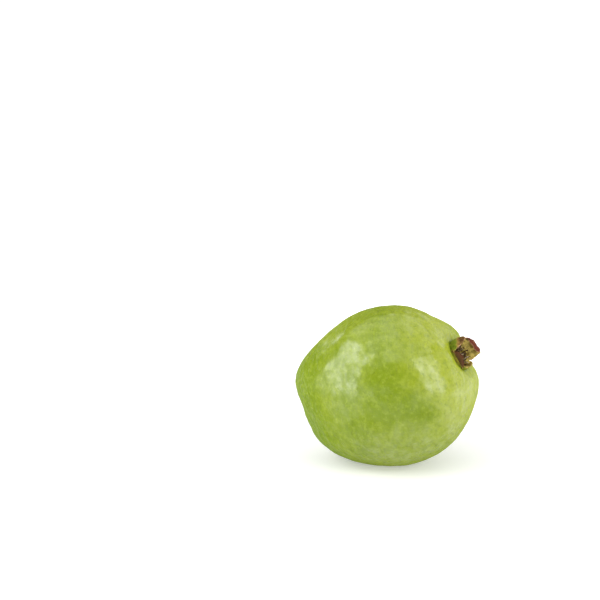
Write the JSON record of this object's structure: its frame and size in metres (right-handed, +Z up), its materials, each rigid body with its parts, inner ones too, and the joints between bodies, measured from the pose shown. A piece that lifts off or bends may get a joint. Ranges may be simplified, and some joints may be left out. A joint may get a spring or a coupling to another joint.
{
  "type": "guava",
  "caption": "Whole picked guava lying on its side on a small flat spot, with its dried calyx at the blossom end and the dry end of its stalk.",
  "frame": {"origin": "middle of the small flat spot that the fruit rests on, under the middle of the fruit", "axes": "+Z up, +X towards the blossom end, which is raised: the fruit's own axis lies in the XZ plane"},
  "size_m": [0.0851, 0.0763, 0.0751],
  "materials": {
    "skin": "satin",
    "calyx": "matte",
    "stamens": "matte",
    "stalk": "matte"
  },
  "bodies": {
    "root": {"fruit": "skin", "calyx": "calyx", "stamens": "stamens", "stalk_end": "stalk"}
  },
  "joints": []
}
